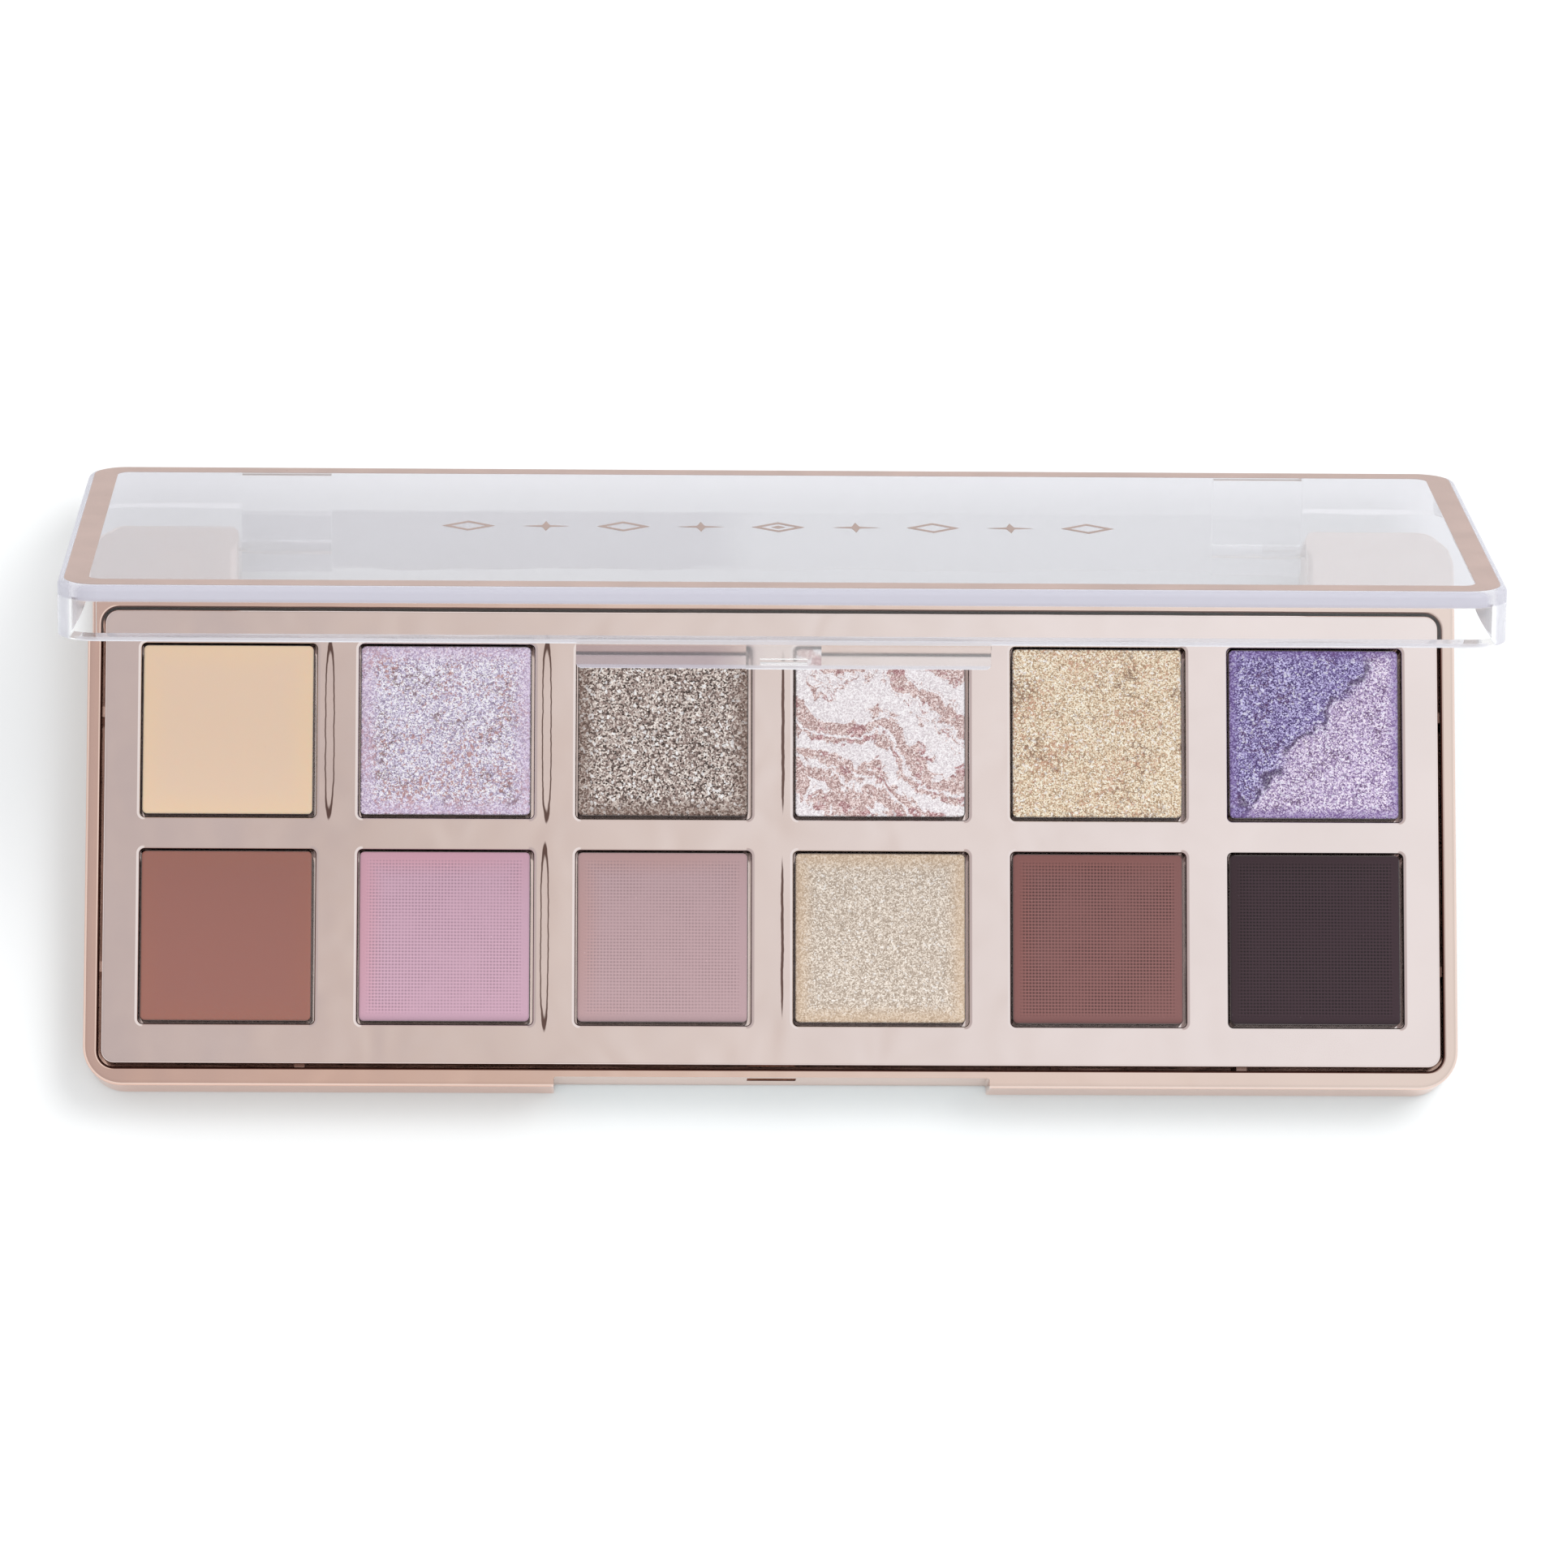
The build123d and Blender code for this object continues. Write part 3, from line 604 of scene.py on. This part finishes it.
def rounded_square(half, corner, cells):
    """A square grid of points whose corners are drawn in to a corner radius."""
    steps = np.linspace(-half, half, cells)
    x, y = np.meshgrid(steps, steps)
    core = half - corner
    dx, dy = np.clip(np.abs(x) - core, 0, None), np.clip(np.abs(y) - core, 0, None)
    long = np.hypot(dx, dy)
    pull = np.where(long > 0, np.maximum(dx, dy) / np.maximum(long, 1e-9), 1.0)
    return (np.sign(x) * (np.minimum(np.abs(x), core) + dx * pull),
            np.sign(y) * (np.minimum(np.abs(y), core) + dy * pull))


def cake_top(x, y, half, edge_round, crown, lumps, seed):
    """Height over the plain filling: rounded edge, domed or dipped middle, and lumps."""
    dx = np.clip(np.abs(x) - (half - CAKE_CORNER), 0, None)
    dy = np.clip(np.abs(y) - (half - CAKE_CORNER), 0, None)
    inwards = CAKE_CORNER - np.hypot(dx, dy)
    straight = np.minimum(half - np.abs(x), half - np.abs(y))
    depth_in = np.where((dx > 0) & (dy > 0), inwards, straight)
    near = np.clip(1 - depth_in / edge_round, 0, 1)
    fall = edge_round * EDGE_FALL * (1 - np.sqrt(np.clip(1 - near ** 2, 0, 1)))
    dome = crown * (1 - (x / half) ** 2) * (1 - (y / half) ** 2)
    relief = np.zeros_like(x)
    for number, (cell, height) in enumerate(lumps):
        lump = value_noise(x + NOISE_OFFSET, y + NOISE_OFFSET, cell, seed + number)
        relief += height * (lump - 0.5)
    return np.minimum(RIM_RISE + dome + (edge_round * EDGE_FALL - fall) + relief, HIGHEST_LUMP)


def closed_block(name, top, foot_level):
    """A closed mesh from a square grid of top points, straight down to a flat foot."""
    count = len(top)
    points = top.reshape(-1, 3)
    index = np.arange(count * count).reshape(count, count)
    a, b = index[:-1, :-1].ravel(), index[:-1, 1:].ravel()
    c, d = index[1:, 1:].ravel(), index[1:, :-1].ravel()
    faces = np.stack([a, b, c, d], axis=1).tolist()
    ring = np.concatenate([index[0, :-1], index[:-1, -1], index[-1, :0:-1], index[:0:-1, 0]])
    ring = ring.tolist()
    foot = points[ring].copy()
    foot[:, 2] = foot_level
    base, total = len(points), len(ring)
    for i in range(total):
        j = (i + 1) % total
        faces.append([ring[j], ring[i], base + i, base + j])
    faces.append([base + i for i in reversed(range(total))])
    mesh = bpy.data.meshes.new(name)
    mesh.from_pydata((np.vstack([points, foot]) * MM).tolist(), [], faces)
    mesh.update()
    mesh.shade_smooth()
    made = bpy.data.objects.new(name, mesh)
    bpy.context.scene.collection.objects.link(made)
    return made


def cake(node, edge_round, crown, lumps, seed):
    """A filled pan's cake, pressed a little over the pan's rim."""
    low, high = (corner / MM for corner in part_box(node))
    centre = (low + high) / 2
    half = (high.x - low.x) / 2 + CAKE_OVERLAP
    x, y = rounded_square(half, CAKE_CORNER, CAKE_CELLS)
    z = high.z + cake_top(x, y, half, edge_round, crown, lumps, seed)
    top = np.stack([x + centre.x, y + centre.y, z], axis=-1)
    return closed_block(f"{node}_cake", top, low.z)


# Lumps as pairs of their spacing and their height
SMOOTH_LUMPS = [(7.0, 0.05)]
PRESSED_LUMPS = [(3.0, 0.02), (0.9, 0.008)]
FINE_LUMPS = [(2.2, 0.04), (0.6, 0.03)]
COARSE_LUMPS = [(2.6, 0.08), (1.1, 0.07), (0.45, 0.06)]


def shades():
    """Material, edge rounding, crown and lumps for each shade, by node."""
    beige = cream("beige_cream", "shade_rear_1", (0.745, 0.555, 0.415), (0.775, 0.57, 0.395))
    lilac = glitter("lilac_glitter", "shade_rear_2",
                    [(0.0, (0.34, 0.29, 0.42)), (0.45, (0.66, 0.60, 0.80)),
                     (1.0, (1.0, 1.0, 1.0))],
                    0.445, (0.52, 0.28, 0.27), edge_colour=(0.70, 0.55, 0.75))
    taupe = glitter("taupe_glitter", "shade_rear_3",
                    [(0.0, (0.04, 0.03, 0.025)), (0.5, (0.40, 0.305, 0.275)),
                     (1.0, (1.0, 0.92, 0.85))],
                    0.0, None, size=0.17, tilt=1.1, edge_colour=(0.22, 0.14, 0.11), glints=0.85)
    champagne = glitter("champagne_glitter", "shade_rear_5",
                        [(0.0, (0.44, 0.31, 0.19)), (0.5, (0.82, 0.645, 0.455)),
                         (1.0, (1.0, 0.97, 0.83))],
                        0.435, (0.60, 0.34, 0.23))
    ivory = glitter("ivory_shimmer", "shade_front_4",
                    [(0.0, (0.37, 0.30, 0.235)), (0.5, (0.54, 0.455, 0.38)),
                     (1.0, (0.86, 0.78, 0.69))],
                    0.0, None, size=0.13, tilt=0.4, relief=0.02, metal=0.3,
                    edge_colour=(0.60, 0.43, 0.28), glints=0.35)
    brown_cream = cream("brown_cream", "shade_front_1",
                        (0.28, 0.118, 0.097), (0.29, 0.12, 0.093))
    pink = matte("pink_matte", "shade_front_2", (0.585, 0.372, 0.47), (0.62, 0.33, 0.40), 1.2)
    mauve = matte("mauve_matte", "shade_front_3", (0.485, 0.335, 0.355), (0.48, 0.295, 0.285))
    brown = matte("brown_matte", "shade_front_5", (0.265, 0.124, 0.119), (0.275, 0.115, 0.105), 2.0)
    aubergine = matte("aubergine_matte", "shade_front_6",
                      (0.057, 0.034, 0.043), (0.051, 0.0295, 0.0365), 2.3)
    return {
        "shade_rear_1": (beige, 0.35, -0.10, SMOOTH_LUMPS),
        "shade_rear_2": (lilac, 0.6, 0.05, COARSE_LUMPS),
        "shade_rear_3": (taupe, 0.6, 0.05, FINE_LUMPS),
        "shade_rear_4": (marbled("rose_marble", "shade_rear_4"), 0.6, 0.05, COARSE_LUMPS),
        "shade_rear_5": (champagne, 0.6, 0.05, COARSE_LUMPS),
        "shade_rear_6": (duochrome("violet_duochrome", "shade_rear_6"), 0.6, 0.05, COARSE_LUMPS),
        "shade_front_1": (brown_cream, 0.35, -0.10, SMOOTH_LUMPS),
        "shade_front_2": (pink, 0.9, 0.04, PRESSED_LUMPS),
        "shade_front_3": (mauve, 0.9, 0.04, PRESSED_LUMPS),
        "shade_front_4": (ivory, 0.9, 0.04, FINE_LUMPS),
        "shade_front_5": (brown, 0.9, 0.04, PRESSED_LUMPS),
        "shade_front_6": (aubergine, 0.9, 0.04, PRESSED_LUMPS),
    }


FIRST_SEED = 100
SEED_STEP = 10


def build_shades():
    """Replaces each plain CAD filling with a cake that has its own relief and material."""
    for number, (node, (material, edge_round, crown, lumps)) in enumerate(shades().items()):
        piece = cake(node, edge_round, crown, lumps, FIRST_SEED + SEED_STEP * number)
        piece.data.materials.append(material)
        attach(piece, "tray")
        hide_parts(node)


# The colours of upright walls, left and right: the tray's rose, darker on the left and paler on the
# right as painted light, and the plate's walls dark as painted shade
TRAY_WALLS_ROSE_AND_PAINTED_LIGHT = ((0.75, 0.51, 0.42), (0.85, 0.68, 0.61))
PLATE_WALLS_PAINTED_SHADE = ((0.2, 0.1, 0.08), (0.2, 0.1, 0.08))
LID_NODES = ("lid_shell", "lid_border_foil", "lid_motif_foil")


def dress_cad():
    """Gives each CAD node that stays its own material."""
    pin = steel("pin_steel", (0.72, 0.72, 0.74), (0.3, 9.0, 9.0))
    # The pans' metal is made dark: painted shade of the thin gap round each cake
    pan = steel("pan_tin_painted_shade", (0.24, 0.22, 0.22), (2.0, 2.0, 8.0))
    looks = {
        "base_case": metallised("rose_tray", (0.79, 0.59, 0.51), (0.75, 0.62, 0.56),
                                (0.97, 0.82, 0.76), TRAY_WALLS_ROSE_AND_PAINTED_LIGHT),
        "pan_carrier": metallised("rose_plate", (0.80, 0.705, 0.68), (0.80, 0.715, 0.70),
                                  (0.60, 0.50, 0.48), PLATE_WALLS_PAINTED_SHADE, PAINTED_REFLECTION_LOOPS),
        "lid_shell": clear_plastic("clear_lid"),
        "lid_border_foil": foil("rose_foil"),
        "lid_motif_foil": foil("rose_foil_deep", 0.82),
        "hinge_pin_left": pin,
        "hinge_pin_right": pin,
        "pan_glue_pads": hot_glue("glue"),
    }
    for row in ROWS:
        for column in COLUMNS:
            looks[f"pan_{row}_{column}"] = pan
    for node, material in looks.items():
        slots = nodes[node].data.materials
        slots.clear()
        slots.append(material)


def keep_lid_out_of_reflections():
    """The metallised plate doesn't mirror the lid, and the clear shell dims nothing near it."""
    for node in LID_NODES:
        nodes[node].visible_glossy = False
    nodes["lid_shell"].visible_diffuse = False


# ---------------------------------------------------------------- studio

FLOOR_HALF_SIZE = 12.0
FLOOR_DROP = 0.0002


def floor():
    """A large, plain pale floor."""
    size = FLOOR_HALF_SIZE
    mesh = bpy.data.meshes.new("floor")
    corners = [(-size, -size, 0), (size, -size, 0), (size, size, 0), (-size, size, 0)]
    mesh.from_pydata(corners, [], [(0, 1, 2, 3)])
    made = bpy.data.objects.new("floor", mesh)
    made.location.z = -FLOOR_DROP
    bpy.context.scene.collection.objects.link(made)
    s = Shader("floor_white")
    shade = s.remap(s.noise(0.002, 2.0).outputs["Fac"], 0.3, 0.7)
    tint = s.mix(shade, (0.89, 0.91, 0.92), (0.905, 0.925, 0.935))
    made.data.materials.append(s.done(s.principled(Base_Color=tint, Roughness=0.7)))


# What mirrors show of the surround, from left to right, and how bright it is low down
ACROSS = [(0.0, (0.66, 0.60, 0.595)), (0.17, (0.735, 0.65, 0.61)), (0.34, (0.82, 0.745, 0.70)),
          (0.52, (0.915, 0.87, 0.84)), (0.69, (0.99, 0.97, 0.96)), (0.86, (1.03, 1.02, 1.02)),
          (1.0, (1.03, 1.03, 1.03))]
HORIZON_LEVEL = 0.9

# The surround as plain surfaces see it, and as the floor and other plain surfaces see it
# mirrored in metal: a little cool, so that the rose tray leaves its shadow neutral
AMBIENT = (0.955, 0.955, 0.955)
AMBIENT_BOUNCED = (0.72, 0.98, 1.08)


def studio_world():
    """Soft white surround. What mirrors show overhead darkens a little towards the left."""
    world = bpy.data.worlds.new("studio")
    bpy.context.scene.world = world
    world.use_nodes = True
    s = Nodes(world.node_tree)
    x, _, z = s.parts(s.node("ShaderNodeTexCoord").outputs["Generated"])
    across = s.ramp(s.remap(x, -0.06, 0.10, smooth=False), ACROSS)
    mirrored = s.scaled(across, s.remap(z, 0.1, 0.9, HORIZON_LEVEL, 1.0))
    rays = s.node("ShaderNodeLightPath").outputs
    mirroring = s.math("MAXIMUM", rays["Is Glossy Ray"], rays["Is Transmission Ray"])
    bounced = s.math("GREATER_THAN", rays["Diffuse Depth"], 0.5)
    colour = s.mix(bounced, mirrored, AMBIENT_BOUNCED)
    colour = s.mix(s.math("SUBTRACT", 1.0, mirroring), colour, AMBIENT)
    background = s.node("ShaderNodeBackground", {"Color": colour, "Strength": 1.0})
    s.node("ShaderNodeOutputWorld", {"Surface": background.outputs[0]})


KEY_PLACE = (0.48, 0.36, 1.1)
KEY_SIZE = 0.55
KEY_WATTS = 6.2
KEY_AIM = (0, 0, 0.01)


def softbox(name, place, size, power, aim):
    """A square area light aimed at the palette, not seen in mirrors."""
    data = bpy.data.lights.new(name, "AREA")
    data.shape = "SQUARE"
    data.size = size
    data.energy = power
    made = bpy.data.objects.new(name, data)
    made.location = place
    made.rotation_euler = (Vector(aim) - Vector(place)).to_track_quat("-Z", "Y").to_euler()
    made.visible_glossy = False
    bpy.context.scene.collection.objects.link(made)


def camera():
    """The camera, where the photograph was taken from."""
    data = bpy.data.cameras.new("camera")
    data.sensor_width = SENSOR
    data.lens = CAMERA_LENS
    data.clip_start = 0.01
    data.clip_end = 60.0
    made = bpy.data.objects.new("camera", data)
    turn = (Matrix.Rotation(CAMERA_TILT, 4, "X") @ Matrix.Rotation(CAMERA_PAN, 4, "Y")
            @ Matrix.Rotation(CAMERA_ROLL, 4, "Z"))
    made.matrix_world = Matrix.Translation(CAMERA_PLACE) @ turn
    bpy.context.scene.collection.objects.link(made)
    bpy.context.scene.camera = made


dress_cad()
keep_lid_out_of_reflections()
build_shades()
floor()
studio_world()
softbox("key", KEY_PLACE, KEY_SIZE, KEY_WATTS, KEY_AIM)
camera()
bpy.context.scene.view_settings.view_transform = "Standard"
